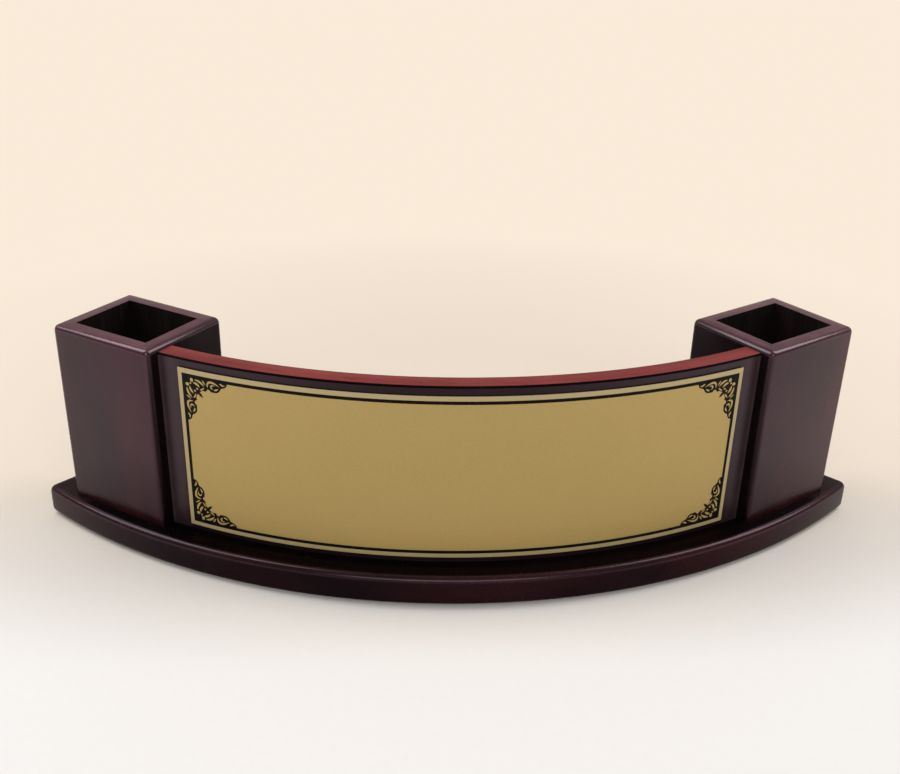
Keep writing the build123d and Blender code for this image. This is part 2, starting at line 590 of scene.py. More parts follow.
# %% Model the cup floors
cup_floor_size = cup_size - Vector((2 * cup_wall, 2 * cup_wall, 0))
cup_floor_size.z = floor_high.z - floor_low.z
floor_ease = 0.0006
cup_floors = []
for cup, side in cup_sides.items():
    deselect()
    bpy.ops.mesh.primitive_cube_add(size=1, location=(0, 0, cup_floor_size.z / 2))
    cup_floor = fresh(f"{cup}_cup_floor_board", cup_floor_size)
    edit(cup_floor)
    round_edges(cup_floor, floor_ease, lambda e: level_at(e, cup_floor_size.z))
    close_up()
    done()
    smooth(cup_floor)
    to_cup(cup_floor, side)
    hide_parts(f"{cup}_cup_floor")
    cup_floors.append(cup_floor)
    report(cup_floor)

# %% [markdown]
# The sheet carries a printed black line all round and a traditional scroll ornament in each corner, both
# in thin ink. They are drawn flat first, as a printer would, and wrapped onto the sheet at the end. The
# line starts as a plane of the print's size: an inset makes the line's width, and the middle is deleted.

# %% Draw the border line flat
ink_thickness = 0.00004
line_inset = 0.0022
line_width = 0.00165
print_width = 2 * sheet_half_angle * sheet_front - 2 * line_inset
print_height = sheet_high.z - sheet_low.z - 2 * line_inset
deselect()
bpy.ops.mesh.primitive_plane_add(size=1, rotation=(pi / 2, 0, 0))
line = fresh("sheet_print", (print_width, print_height, 1))
edit(line)
bpy.ops.mesh.inset(thickness=line_width, depth=0)
bpy.ops.mesh.delete(type="FACE")
done()
thicken = line.modifiers.new("ink", "SOLIDIFY")
thicken.thickness = ink_thickness
thicken.offset = 0
bpy.ops.object.modifier_apply(modifier=thicken.name)
report(line)

# %% [markdown]
# The ornament is black with bare gaps: petals, leaves and hooked scrolls. A filled 2D curve does this
# well, because outlines drawn inside another outline become holes. One leg is drawn, in millimetres from
# the line's outer corner, and swapping its two coordinates gives the other leg. Each gap is a stroke
# along a Bezier curve that swells in the middle and comes to a point at both ends, like a reed pen's.

# %% Set out one leg of the corner scroll
leg_length = 24.0
ground_start = 1.35
leg_outline = [
    ((23.2, 3.2), "AUTO"),
    ((20.7, 4.4), "VECTOR"),
    ((19.0, 6.6), "AUTO"),
    ((16.7, 7.1), "AUTO"),
    ((15.0, 7.0), "VECTOR"),
    ((14.6, 6.2), "AUTO"),
    ((13.4, 6.1), "VECTOR"),
    ((12.5, 7.4), "VECTOR"),
    ((11.2, 7.2), "AUTO"),
    ((9.2, 8.2), "VECTOR"),
    ((10.2, 9.3), "AUTO"),
    ((10.9, 10.9), "VECTOR"),
]
leg_strokes = {
    "long leaf": ([(6.7, 2.4), (8.6, 2.3), (10.4, 3.2), (11.7, 5.0)], 1.10),
    "short leaf": ([(11.0, 1.8), (11.3, 2.5), (11.8, 3.3), (12.6, 4.1)], 0.75),
    "inner leaf": ([(5.9, 4.0), (7.0, 3.9), (8.4, 4.5), (9.4, 5.9)], 1.15),
    "barb": ([(9.3, 7.1), (10.3, 6.9), (11.1, 6.4), (11.8, 5.5)], 0.75),
    "hook": ([(13.6, 5.4), (13.0, 1.5), (15.7, 1.2), (19.9, 3.8)], 1.15),
    "curl": ([(17.6, 3.7), (15.0, 3.0), (14.8, 5.1), (16.5, 5.6)], 0.85),
    "lobe": ([(16.8, 5.7), (17.5, 5.9), (18.4, 5.5), (19.2, 4.7)], 0.85),
    "tip": ([(19.9, 2.4), (20.9, 1.5), (21.0, 3.7), (22.9, 2.4)], 0.85),
}
leg_ovals = {"petal": ((5.25, 2.75), (0.85, 1.0)), "bud": ((8.0, 6.7), (0.55, 0.5))}
middle_oval = ((4.5, 4.5), (0.5, 0.5))
stroke_steps = 14
oval_steps = 20
swell_power = 0.7


def bezier_point(points, share):
    """The point at a share of the way along a cubic Bezier curve."""
    rest = 1 - share
    weights = (rest ** 3, 3 * rest ** 2 * share, 3 * rest * share ** 2, share ** 3)
    return sum((Vector(point) * weight for point, weight in zip(points, weights)), Vector((0, 0)))


def stroke_outline(points, width):
    """The closed outline of a stroke that swells in the middle and is pointed at both ends."""
    here = [bezier_point(points, step / stroke_steps) for step in range(stroke_steps + 1)]
    sides = ([], [])
    for step in range(1, stroke_steps):
        along = (here[step + 1] - here[step - 1]).normalized()
        reach = Vector((-along.y, along.x)) * width / 2 * sin(pi * step / stroke_steps) ** swell_power
        sides[0].append(here[step] + reach)
        sides[1].append(here[step] - reach)
    return [here[0]] + sides[0] + [here[-1]] + sides[1][::-1]


def oval_outline(middle, halves):
    """The closed outline of an oval."""
    turns = [2 * pi * step / oval_steps for step in range(oval_steps)]
    return [Vector((middle[0] + halves[0] * cos(turn), middle[1] + halves[1] * sin(turn))) for turn in turns]


leg_gaps = [stroke_outline(*stroke) for stroke in leg_strokes.values()]
leg_gaps += [oval_outline(*oval) for oval in leg_ovals.values()]
print("gaps in one leg:", len(leg_gaps))

# %% [markdown]
# The curve gets the ground's outline as a Bezier spline, with smooth handles on the lobes and straight
# ones at the cusps, and one straight-edged spline for each gap. It is converted to a mesh at the top
# right corner, and a mirror modifier on two axes makes the other three.

# %% Fill the corner scroll and mirror it to all four corners
lobe_steps = 6


def in_print(point):
    """A point of the ornament, set out from the print's top right corner."""
    return (print_width / 2 - point[0] * millimetre, print_height / 2 - point[1] * millimetre, 0)


def swapped(point):
    """The same point on the other leg."""
    return (point[1], point[0])


ground = [((ground_start, ground_start), "VECTOR"), ((leg_length, ground_start), "VECTOR")]
ground += leg_outline
ground += [(swapped(point), handle) for point, handle in leg_outline[-2::-1]]
ground += [((ground_start, leg_length), "VECTOR")]
gaps = leg_gaps + [[swapped(point) for point in gap] for gap in leg_gaps] + [oval_outline(*middle_oval)]
scroll_curve = bpy.data.curves.new("corner_scroll", "CURVE")
scroll_curve.dimensions = "2D"
scroll_curve.fill_mode = "BOTH"
scroll_curve.extrude = ink_thickness / 2
scroll_curve.resolution_u = lobe_steps
spline = scroll_curve.splines.new("BEZIER")
spline.bezier_points.add(len(ground) - 1)
spline.use_cyclic_u = True
for knot, (point, handle) in zip(spline.bezier_points, ground):
    knot.co = in_print(point)
    knot.handle_left_type = handle
    knot.handle_right_type = handle
for gap in gaps:
    spline = scroll_curve.splines.new("POLY")
    spline.points.add(len(gap) - 1)
    spline.use_cyclic_u = True
    for knot, point in zip(spline.points, gap):
        knot.co = (*in_print(point), 1)
scroll = bpy.data.objects.new("corner_scroll", scroll_curve)
bpy.context.scene.collection.objects.link(scroll)
only(scroll)
bpy.ops.object.convert(target="MESH")
scroll.rotation_euler.x = pi / 2
settle()
edit(scroll)
close_up()
done()
corners = scroll.modifiers.new("corners", "MIRROR")
corners.use_axis = (True, False, True)
bpy.ops.object.modifier_apply(modifier=corners.name)
report(scroll)

# %% [markdown]
# A flat print has few vertices, so it would bend in long chords and sink into the sheet. It is first cut
# across every few millimetres, and then a simple deform modifier bends it to the sheet's own radius: its
# angle is the print's width divided by that radius.

# %% Wrap the print round the sheet
cut_spacing = 0.004
only(scroll)
line.select_set(True)
bpy.context.view_layer.objects.active = line
bpy.ops.object.join()
edit(line)
cut_count = int(print_width / cut_spacing)
for cut in range(1, cut_count):
    bpy.ops.mesh.select_all(action="SELECT")
    across = print_width * cut / cut_count - print_width / 2
    bpy.ops.mesh.bisect(plane_co=(across, 0, 0), plane_no=(1, 0, 0))
close_up()
done()
bend = line.modifiers.new("wrap", "SIMPLE_DEFORM")
bend.deform_method = "BEND"
bend.deform_axis = "Z"
bend.angle = print_width / sheet_front
bpy.ops.object.modifier_apply(modifier=bend.name)
line.location = on_arc(sheet_front, 0, (sheet_low.z + sheet_high.z) / 2)
settle()
smooth(line)
proud = [(radius_at(vert.co) - sheet_front) / millimetre for vert in line.data.vertices]
print("ink stands proud by mm", rounded((min(proud), max(proud))))
report(line)

# %% [markdown]
# The modelling is done, so each piece is tied to the model's one body, and the pieces that stand for a
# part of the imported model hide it. Screws, dowels and the adhesive film stay as they were packed.

# %% Tie the pieces to the model
slot_pieces = {
    "lacquered_wood": [base, panel] + cup_boards + cup_floors,
    "red_edge_wood": [band],
    "gold_sheet": [sheet],
    "felt": [felt],
}
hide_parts("base_board")
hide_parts("base_felt")
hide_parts("name_panel")
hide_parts("panel_edge_band")
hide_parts("name_plate")
for slot, pieces in slot_pieces.items():
    for piece in pieces:
        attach(piece, "root")
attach(line, "root")
print("pieces tied:", {slot: len(pieces) for slot, pieces in slot_pieces.items()}, "and the print")

# %% [markdown]
# Node materials are easier to read when a node, its options and its inputs are made in one line. These
# helpers do that for the few nodes that every finish here is made of: arithmetic, a ramp between two
# values, a mix of two colours, noise and a bump.

# %% Helpers for single nodes
noise_span = (0.3, 0.7)


def add(tree, kind, inputs=None, **options):
    """Adds a node, sets its options and fills its inputs with values or links."""
    node = tree.nodes.new("ShaderNode" + kind)
    for name, value in options.items():
        setattr(node, name, value)
    for name, value in (inputs or {}).items():
        if isinstance(value, bpy.types.NodeSocket):
            tree.links.new(value, node.inputs[name])
        else:
            node.inputs[name].default_value = value
    return node


def calculate(tree, operation, first, second=0):
    """One step of arithmetic on two values."""
    return add(tree, "Math", {0: first, 1: second}, operation=operation).outputs[0]


def spread(tree, value, limits, results):
    """Maps the stretch between two limits onto two results, and holds those outside."""
    inputs = {"Value": value, "From Min": limits[0], "From Max": limits[1]}
    inputs.update({"To Min": results[0], "To Max": results[1]})
    return add(tree, "MapRange", inputs).outputs[0]


def ramp(tree, value, limits):
    """A mask that is 0 up to the first limit and 1 from the second on."""
    return spread(tree, value, limits, (0, 1))


def mix_colours(tree, mask, first, second):
    """The first colour where the mask is 0, the second where it is 1."""
    return add(tree, "Mix", {0: mask, 6: first, 7: second}, data_type="RGBA").outputs[2]


def tint(tree, colour, mask, share, other):
    """A colour with another mixed in where a mask says, up to a share."""
    return mix_colours(tree, calculate(tree, "MULTIPLY", mask, share), colour, other)


def noise(tree, place, per_metre, detail):
    """Noise at a place, in blobs per metre. Its values seldom leave noise_span."""
    return add(tree, "TexNoise", {"Vector": place, "Scale": per_metre, "Detail": detail}).outputs[0]


def stretched(tree, place, stretch):
    """A place squeezed along the fibres, so that a pattern made from it is drawn out along them."""
    return add(tree, "VectorMath", {0: place, 1: stretch}, operation="MULTIPLY").outputs[0]


def raised(tree, height, strength, depth):
    """A bump from a height."""
    return add(tree, "Bump", {"Strength": strength, "Distance": depth, "Height": height}).outputs[0]


print("node helpers ready")

# %% [markdown]
# More helpers start a material or a node group, use a group at a place and link what changes over a
# surface to its shader. What is the same all over a surface is set on the shader's own sockets instead.

# %% Helpers for materials and groups
def start_material(name):
    """An empty material with a Principled shader wired to its output."""
    material = bpy.data.materials.new(name)
    material.use_nodes = True
    tree = material.node_tree
    tree.nodes.clear()
    shader = add(tree, "BsdfPrincipled")
    add(tree, "OutputMaterial", {"Surface": shader.outputs[0]})
    return material, tree, shader


def dress(tree, shader, colour, roughness, bump=None, specular=0.5):
    """Links a colour, a roughness and any bump to a shader, and sets its specular level."""
    tree.links.new(colour, shader.inputs["Base Color"])
    tree.links.new(roughness, shader.inputs["Roughness"])
    if bump:
        tree.links.new(bump, shader.inputs["Normal"])
    shader.inputs["Specular IOR Level"].default_value = specular


def start_group(name, inputs, outputs):
    """An empty node group with named sockets."""
    group = bpy.data.node_groups.new(name, "ShaderNodeTree")
    for direction, sockets in (("INPUT", inputs), ("OUTPUT", outputs)):
        for label, kind in sockets.items():
            group.interface.new_socket(label, in_out=direction, socket_type="NodeSocket" + kind)
    return group, group.nodes.new("NodeGroupInput").outputs, group.nodes.new("NodeGroupOutput").inputs


def use(tree, group, place):
    """The outputs of a node group at a place."""
    return add(tree, "Group", {"Vector": place}, node_tree=group).outputs


def object_place(tree):
    """Where a point lies in the model's own frame."""
    return add(tree, "TexCoord").outputs["Object"]


print("material helpers ready")

# %% [markdown]
# The panel's veneer and the sheet's brushed grain follow the arc, so plain X, Y, Z won't do for them.
# This group unrolls the arc: it gives the distance along it, the depth from the panel's face and the
# height, and any pattern made from these three bends with the piece.

# %% Group: unroll the arc
unroll, unroll_in, unroll_out = start_group("Unroll the arc", {"Vector": "Vector"}, {"Place": "Vector"})
from_middle = add(unroll, "VectorMath", {0: unroll_in["Vector"], 1: arc_middle}, operation="SUBTRACT")
axes = add(unroll, "SeparateXYZ", {0: from_middle.outputs[0]}).outputs
forward = calculate(unroll, "MULTIPLY", axes["Y"], -1)
turn = calculate(unroll, "ARCTAN2", axes["X"], forward)
level_place = add(unroll, "CombineXYZ", {"X": axes["X"], "Y": axes["Y"]}).outputs[0]
reach = add(unroll, "VectorMath", {0: level_place}, operation="LENGTH").outputs["Value"]
unrolled = {
    "X": calculate(unroll, "MULTIPLY", turn, panel_radius),
    "Y": calculate(unroll, "SUBTRACT", reach, panel_radius),
    "Z": axes["Z"],
}
unroll.links.new(add(unroll, "CombineXYZ", unrolled).outputs[0], unroll_out["Place"])
print(unroll.name, "nodes", len(unroll.nodes))

# %% [markdown]
# Mahogany under lacquer shows three things at different scales: long soft streaks, fine dark pores that
# run the same way, and a slow change from darker to redder areas. All three are noise stretched along
# the fibres, which is the group's X. Three masks come out, so each wood can use them with its own colours.

# %% Group: wood grain
fibre_stretch = (0.03, 1, 1)
pore_stretch = (0.05, 1, 1)
area_stretch = (0.35, 1, 1)
grain, grain_in, grain_out = start_group(
    "Wood grain",
    {"Vector": "Vector", "Streaks per metre": "Float"},
    {"Streak": "Float", "Pore": "Float", "Area": "Float"},
)
# Each layer has its stretch, its number per metre, its detail and the limits of its mask.
grain_layers = {
    "Streak": (fibre_stretch, grain_in["Streaks per metre"], 5, (0.33, 0.68)),
    "Pore": (pore_stretch, 1700, 2, (0.58, 0.72)),
    "Area": (area_stretch, 28, 3, (0.35, 0.70)),
}
for label, (stretch, per_metre, detail, limits) in grain_layers.items():
    layer = noise(grain, stretched(grain, grain_in["Vector"], stretch), per_metre, detail)
    grain.links.new(ramp(grain, layer, limits), grain_out[label])
print(grain.name, "nodes", len(grain.nodes))

# %% [markdown]
# Edges that hands and cloths pass over lose some stain. The modelling left a value named
# rub_and_painted_light on the mesh: wear on the bevels, wear and painted light on the cup rims, and painted
# light on the base's ends and the panel's ends. Noise breaks it up, so that the mark comes and goes along an
# edge as worn lines do on a real one, and on the cup boards streaks follow each board's own length. A piece
# without such a place of its own reads zero there, where the noise is at its middle and changes nothing.

# %% Group: rubbed edges and painted light
breaks_per_metre = 90
break_detail = 4
break_limits = (0.30, 0.65)
break_range = (0.6, 1)
lines_per_metre = 900
line_detail = 3
line_range = (0.55, 1.45)
rub_and_light_group, rub_and_light_in, rub_and_light_out = start_group("Rubbed edges and painted light", {"Vector": "Vector"}, {"Rub and light": "Float"})
rub_and_light_mark = add(rub_and_light_group, "Attribute", attribute_name="rub_and_painted_light").outputs["Fac"]
breaks = noise(rub_and_light_group, rub_and_light_in["Vector"], breaks_per_metre, break_detail)
breaks = spread(rub_and_light_group, breaks, break_limits, break_range)
own_place = add(rub_and_light_group, "Attribute", attribute_name="board_place").outputs["Vector"]
lines = noise(rub_and_light_group, stretched(rub_and_light_group, own_place, fibre_stretch), lines_per_metre, line_detail)
lines = spread(rub_and_light_group, lines, noise_span, line_range)
unevenness = calculate(rub_and_light_group, "MULTIPLY", breaks, lines)
rub_and_light_group.links.new(calculate(rub_and_light_group, "MULTIPLY", rub_and_light_mark, unevenness), rub_and_light_out["Rub and light"])
print(rub_and_light_group.name, "nodes", len(rub_and_light_group.nodes))

# %% [markdown]
# Every polished surface on a desk carries some trace of handling: large faint smudges that dull the
# gloss, and fine dust. One group gives both masks to the wood, the metal and the ink.

# %% Group: handling
handling, handling_in, handling_out = start_group(
    "Handling", {"Vector": "Vector"}, {"Smudge": "Float", "Dust": "Float"}
)
# Each layer has its number per metre, its detail and the limits of its mask.
handling_layers = {"Smudge": (34, 4, (0.38, 0.72)), "Dust": (1400, 1, (0.76, 0.82))}
for label, (per_metre, detail, limits) in handling_layers.items():
    layer = noise(handling, handling_in["Vector"], per_metre, detail)
    handling.links.new(ramp(handling, layer, limits), handling_out[label])
print(handling.name, "nodes", len(handling.nodes))

# %% [markdown]
# A wood's fibres run up the cups, along the base and round the panel and its band. The grain group takes
# the fibres' direction as X, so two small functions turn a place round before it goes into the groups.

# %% Turn places to the fibres
def fibres_up(tree):
    """Places with the height first, for boards whose fibres stand upright."""
    axes = add(tree, "SeparateXYZ", {0: object_place(tree)}).outputs
    return add(tree, "CombineXYZ", {"X": axes["Z"], "Y": axes["X"], "Z": axes["Y"]}).outputs[0]


def fibres_round(tree):
    """Places unrolled from the arc, for boards bent to it."""
    return use(tree, unroll, object_place(tree))["Place"]


def grain_masks(tree, place, streaks_per_metre):
    """The three masks of the grain at a place turned to the fibres."""
    inputs = {"Vector": place, "Streaks per metre": streaks_per_metre}
    return add(tree, "Group", inputs, node_tree=grain).outputs


print("fibres run up, round or along")

# %% [markdown]
# The lacquered wood is one function, because all the boards share it with their own stain and gloss. Dark
# stain, redder streaks and black pores make the base colour, and smudges and dust vary the gloss. Where the
# rub mark lies the colour turns paler, which is wear on edges and painted light elsewhere, and a clear coat
# makes it shine as polished wood does. The bump is slight: the pores show through the lacquer, and its
# surface has a faint orange peel.

# %% Material: lacquered mahogany
streaks_per_metre = 210
pore_black = (0.004, 0.0015, 0.0018, 1)
# The paler colour the rub mark mixes in: wear on edges, and painted light on the rims and the base's ends.
worn_and_lit_wood = (0.190, 0.0640, 0.0830, 1)
dust_grey = (0.300, 0.2700, 0.2500, 1)
area_share = 0.55
pore_share = 0.45
rub_and_light_share = 0.75
dust_share = 0.25
dust_dulls = 0.2
peel_per_metre = 420
peel_detail = 2
peel_share = 0.35
peel_strength = 0.05
peel_depth = 0.0003
lacquer_tint = (1.0, 0.73, 0.94, 1)
lacquer_gloss = (0.22, 0.32)
edge_coat = 0.42
edge_gloss = 0.18


def lacquered_wood(name, fibres, tones, specular, gloss=lacquer_gloss, polish=edge_coat, worn_and_lit=worn_and_lit_wood):
    """Wood under lacquer. tones are its dark, middle and light colours; worn_and_lit is the paler colour
    that the rub mark mixes in, for wear and for painted light.
    """
    material, tree, shader = start_material(name)
    place = fibres(tree)
    wood = grain_masks(tree, place, streaks_per_metre)
    rub_and_light = use(tree, rub_and_light_group, place)["Rub and light"]
    hands = use(tree, handling, place)
    colour = mix_colours(tree, wood["Streak"], tones[0], tones[1])
    colour = tint(tree, colour, wood["Area"], area_share, tones[2])
    colour = tint(tree, colour, wood["Pore"], pore_share, pore_black)
    colour = tint(tree, colour, rub_and_light, rub_and_light_share, worn_and_lit)
    colour = tint(tree, colour, hands["Dust"], dust_share, dust_grey)
    peel = calculate(tree, "MULTIPLY", noise(tree, place, peel_per_metre, peel_detail), peel_share)
    height = calculate(tree, "SUBTRACT", peel, wood["Pore"])
    dulled = calculate(tree, "MULTIPLY", hands["Dust"], dust_dulls)
    roughness = calculate(tree, "ADD", spread(tree, hands["Smudge"], (0, 1), gloss), dulled)
    dress(tree, shader, colour, roughness, raised(tree, height, peel_strength, peel_depth), specular)
    if polish:
        coat = spread(tree, rub_and_light, (0, bevel_rub), (0, polish))
        tree.links.new(coat, shader.inputs["Coat Weight"])
        shader.inputs["Coat Roughness"].default_value = edge_gloss
    shader.inputs["Specular Tint"].default_value = lacquer_tint
    return material


print("edges take a coat of", edge_coat)

# %% [markdown]
# Six woods come from that function. The cups are red-brown and the glossiest, and their boards beside
# the panel are near black, painted shade that keeps the gaps there deep. The base is a shade darker than
# the cups, and its top is dull and near black, painted shade for the shade in front of the panel. The panel
# is satin and unpolished, with ends painted lighter and greyer, painted light against the shade the cups
# give them. The band on its top is a red wood.

# %% Mix the woods
stain = ((0.004, 0.0012, 0.0018, 1), (0.012, 0.0028, 0.0042, 1), (0.064, 0.0110, 0.0130, 1))
base_stain = ((0.003, 0.0010, 0.0014, 1), (0.008, 0.0022, 0.0030, 1), (0.036, 0.0064, 0.0076, 1))
# This near-black stain is painted shade, used on the base's top, the band's edges and the cup boards beside
# the panel.
painted_shade_stain = ((0.001, 0.0005, 0.0006, 1), (0.003, 0.0011, 0.0014, 1), (0.006, 0.0018, 0.0022, 1))
panel_stain = ((0.010, 0.0054, 0.0056, 1), (0.014, 0.0074, 0.0077, 1), (0.023, 0.0102, 0.0107, 1))
red_tones = ((0.100, 0.0105, 0.0100, 1), (0.215, 0.0260, 0.0240, 1), (0.370, 0.0740, 0.0620, 1))
# Painted light: the lighter, greyer tone that the panel's marked ends turn to.
panel_painted_light = (0.200, 0.1200, 0.1300, 1)
wax_gloss = (0.26, 0.36)
panel_gloss = (0.28, 0.36)
cup_wood = lacquered_wood("lacquered_mahogany_upright", fibres_up, stain, specular=0.50)
# Painted shade: the cup boards beside the panel are near black, standing in for the shade in the gaps
# between cup and panel.
painted_shade_wood = lacquered_wood("lacquered_mahogany_painted_shade", fibres_up, painted_shade_stain, specular=0.45)
base_wood = lacquered_wood("lacquered_mahogany_lengthwise", object_place, base_stain, specular=0.30)
# Painted shade: the base's top is dull and near black, standing in for the shade in front of the panel.
dull_painted_shade_wood = lacquered_wood("dull_mahogany_painted_shade", object_place, painted_shade_stain, specular=0.05, gloss=wax_gloss)
# Painted light: the panel's ends turn to the lighter, greyer tone where they are marked.
panel_wood = lacquered_wood(
    "lacquered_mahogany_bent",
    fibres_round,
    panel_stain,
    specular=0.42,
    gloss=panel_gloss,
    polish=0,
    worn_and_lit=panel_painted_light,
)
red_wood = lacquered_wood("lacquered_red_wood", fibres_round, red_tones, specular=0.18)
woods = (cup_wood, painted_shade_wood, base_wood, dull_painted_shade_wood, panel_wood, red_wood)
print("woods:", [wood.name for wood in woods])

# %% [markdown]
# Inside the cups the same stain was wiped on and never polished. It is nearly black and dull, with raised
# fibres, so the cups read as deep.

# %% Material: dull stain inside the cups
inside_dark = (0.0045, 0.0022, 0.0022, 1)
inside_brown = (0.0130, 0.0055, 0.0050, 1)
inside_streaks = 420
inside_dullness = (0.68, 0.85)
fuzz_strength = 0.3
fuzz_depth = 0.0004
inside_stain, tree, shader = start_material("dull_dark_stain")
wood = grain_masks(tree, fibres_up(tree), inside_streaks)
fuzz = calculate(tree, "SUBTRACT", wood["Streak"], wood["Pore"])
dress(
    tree,
    shader,
    mix_colours(tree, wood["Streak"], inside_dark, inside_brown),
    spread(tree, wood["Area"], (0, 1), inside_dullness),
    raised(tree, fuzz, fuzz_strength, fuzz_depth),
    specular=0.15,
)
print("inside:", inside_stain.name)

# %% [markdown]
# The sheet is satin gold-coloured metal. Its grain is very fine and runs along the sheet, so it shows as
# a soft sparkle and an even tone. The margin outside the printed line is a little lighter, because the
# printed field carries a clear coat that ends at the line.

# %% Material: satin gold sheet
gold_field = (0.505, 0.350, 0.113, 1)
gold_deep = (0.420, 0.287, 0.088, 1)
gold_margin = (0.500, 0.385, 0.190, 1)
gold_metallic = 0.12
margin_from = 0.99
brush_stretch = (0.10, 1, 1)
brush_per_metre = 2600
sparkle_per_metre = 2200
fine_detail = 2
sparkle_limits = (0.35, 0.75)
sparkle_share = 0.55
smudge_share = 0.08
satin_limits = (0.3, 1.5)
satin_range = (0.50, 0.56)
brush_strength = 0.05
brush_depth = 0.0001
gold, tree, shader = start_material("satin_gold_sheet")
place = fibres_round(tree)
axes = add(tree, "SeparateXYZ", {0: place}).outputs
hands = use(tree, handling, place)
half_print = print_width / 2 * panel_radius / sheet_front
from_centre = calculate(tree, "SUBTRACT", axes["Z"], (sheet_low.z + sheet_high.z) / 2)
sideways = calculate(tree, "DIVIDE", calculate(tree, "ABSOLUTE", axes["X"]), half_print)
upwards = calculate(tree, "DIVIDE", calculate(tree, "ABSOLUTE", from_centre), print_height / 2)
outside_line = calculate(tree, "GREATER_THAN", calculate(tree, "MAXIMUM", sideways, upwards), margin_from)
brushed = noise(tree, stretched(tree, place, brush_stretch), brush_per_metre, fine_detail)
sparkle = ramp(tree, noise(tree, place, sparkle_per_metre, fine_detail), sparkle_limits)
smudged = calculate(tree, "MULTIPLY", hands["Smudge"], smudge_share)
tone = calculate(tree, "ADD", calculate(tree, "MULTIPLY", sparkle, sparkle_share), smudged)
colour = mix_colours(tree, tone, gold_field, gold_deep)
colour = mix_colours(tree, outside_line, colour, gold_margin)
satin = spread(tree, calculate(tree, "ADD", hands["Smudge"], brushed), satin_limits, satin_range)
dress(tree, shader, colour, satin, raised(tree, brushed, brush_strength, brush_depth))
shader.inputs["Metallic"].default_value = gold_metallic
print("sheet:", gold.name)

# %% [markdown]
# Screen ink dries with a slight unevenness, and a thin black film on metal has little gloss.

# %% Material: black ink
ink_black = (0.0030, 0.0025, 0.0024, 1)
ink_worn = (0.0110, 0.0088, 0.0072, 1)
blots_per_metre = 600
blot_detail = 3
blot_limits = (0.45, 0.8)
ink_gloss = (0.45, 0.6)
ink, tree, shader = start_material("black_ink")
place = fibres_round(tree)
hands = use(tree, handling, place)
blots = ramp(tree, noise(tree, place, blots_per_metre, blot_detail), blot_limits)
ink_colour = mix_colours(tree, blots, ink_black, ink_worn)
dress(tree, shader, ink_colour, spread(tree, hands["Smudge"], (0, 1), ink_gloss), specular=0.12)
print("ink:", ink.name)

# %% [markdown]
# Felt is pressed fibres with no gloss: noise at fibre size gives its mottled black and its nap.

# %% Material: black felt
felt_deep = (0.006, 0.006, 0.007, 1)
felt_fibre = (0.035, 0.033, 0.033, 1)
fibres_per_metre = 2400
fibre_detail = 6
fibre_limits = (0.4, 0.7)
nap_dullness = (0.88, 1)
nap_strength = 0.6
nap_depth = 0.0004
black_felt, tree, shader = start_material("black_felt")
fibre = noise(tree, object_place(tree), fibres_per_metre, fibre_detail)
dress(
    tree,
    shader,
    mix_colours(tree, ramp(tree, fibre, fibre_limits), felt_deep, felt_fibre),
    spread(tree, fibre, noise_span, nap_dullness),
    raised(tree, fibre, nap_strength, nap_depth),
    specular=0.1,
)
print("felt:", black_felt.name)

# %% [markdown]
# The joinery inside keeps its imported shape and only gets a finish: zinc-plated screws, beech dowels and
# the pale adhesive film. They show only when the plate is taken apart. Zinc and film are both one noise
# that mottles the colour and the gloss, so they share a function.

# %% Materials: screws, dowels and film
zinc_tones = ((0.42, 0.43, 0.44, 1), (0.66, 0.65, 0.61, 1))
film_tones = ((0.62, 0.61, 0.56, 1), (0.80, 0.79, 0.74, 1))
beech_tones = ((0.46, 0.27, 0.13, 1), (0.60, 0.40, 0.22, 1))
beech_pore = (0.30, 0.16, 0.07, 1)
beech_streaks = 900
beech_dullness = (0.55, 0.7)


def mottled(name, tones, per_metre, detail, gloss, metallic):
    """A finish whose colour and gloss are clouded by one noise."""
    material, tree, shader = start_material(name)
    clouds = noise(tree, object_place(tree), per_metre, detail)
    dress(tree, shader, mix_colours(tree, clouds, *tones), spread(tree, clouds, noise_span, gloss))
    shader.inputs["Metallic"].default_value = metallic
    return material


zinc = mottled("zinc_plated_steel", zinc_tones, per_metre=900, detail=3, gloss=(0.28, 0.45), metallic=1)
film = mottled("adhesive_film", film_tones, per_metre=160, detail=4, gloss=(0.4, 0.6), metallic=0)
beech, tree, shader = start_material("plain_beech")
wood = grain_masks(tree, fibres_up(tree), beech_streaks)
colour = mix_colours(tree, wood["Pore"], mix_colours(tree, wood["Streak"], *beech_tones), beech_pore)
dress(tree, shader, colour, spread(tree, wood["Area"], (0, 1), beech_dullness))
print("inner finishes:", zinc.name, beech.name, film.name)

# %% [markdown]
# Each piece now gets its materials in the order of its slots. Three kinds of piece have two: the base's
# top is dull and near black, which is painted shade, the edge band is red on its top and near black
# elsewhere, a painted shade line, and the cup boards are dull on the inside.

# %% Give every piece its finish
def finish(piece, *materials):
    """Fills a piece's material slots in order."""
    while len(piece.data.materials) < len(materials):
        piece.data.materials.append(None)
    for slot, material in zip(piece.material_slots, materials):
        slot.material = material


finish(base, base_wood, dull_painted_shade_wood)
finish(felt, black_felt)
finish(panel, panel_wood)
finish(band, red_wood, dull_painted_shade_wood)
finish(sheet, gold)
finish(line, ink)
for board in cup_boards:
    # The boards beside the panel take the near-black painted shade.
    finish(board, painted_shade_wood if "inner_side" in board.name else cup_wood, inside_stain)
for cup_floor in cup_floors:
    finish(cup_floor, inside_stain)
inner_finishes = {
    zinc: ["panel_screws", "left_cup_screws", "right_cup_screws"],
    beech: ["panel_dowels"],
    film: ["plate_adhesive"],
}
for material, nodes in inner_finishes.items():
    for node in nodes:
        finish(frame["nodes"][node], material)
print("finished pieces:", sum(len(pieces) for pieces in slot_pieces.values()), "and the print")

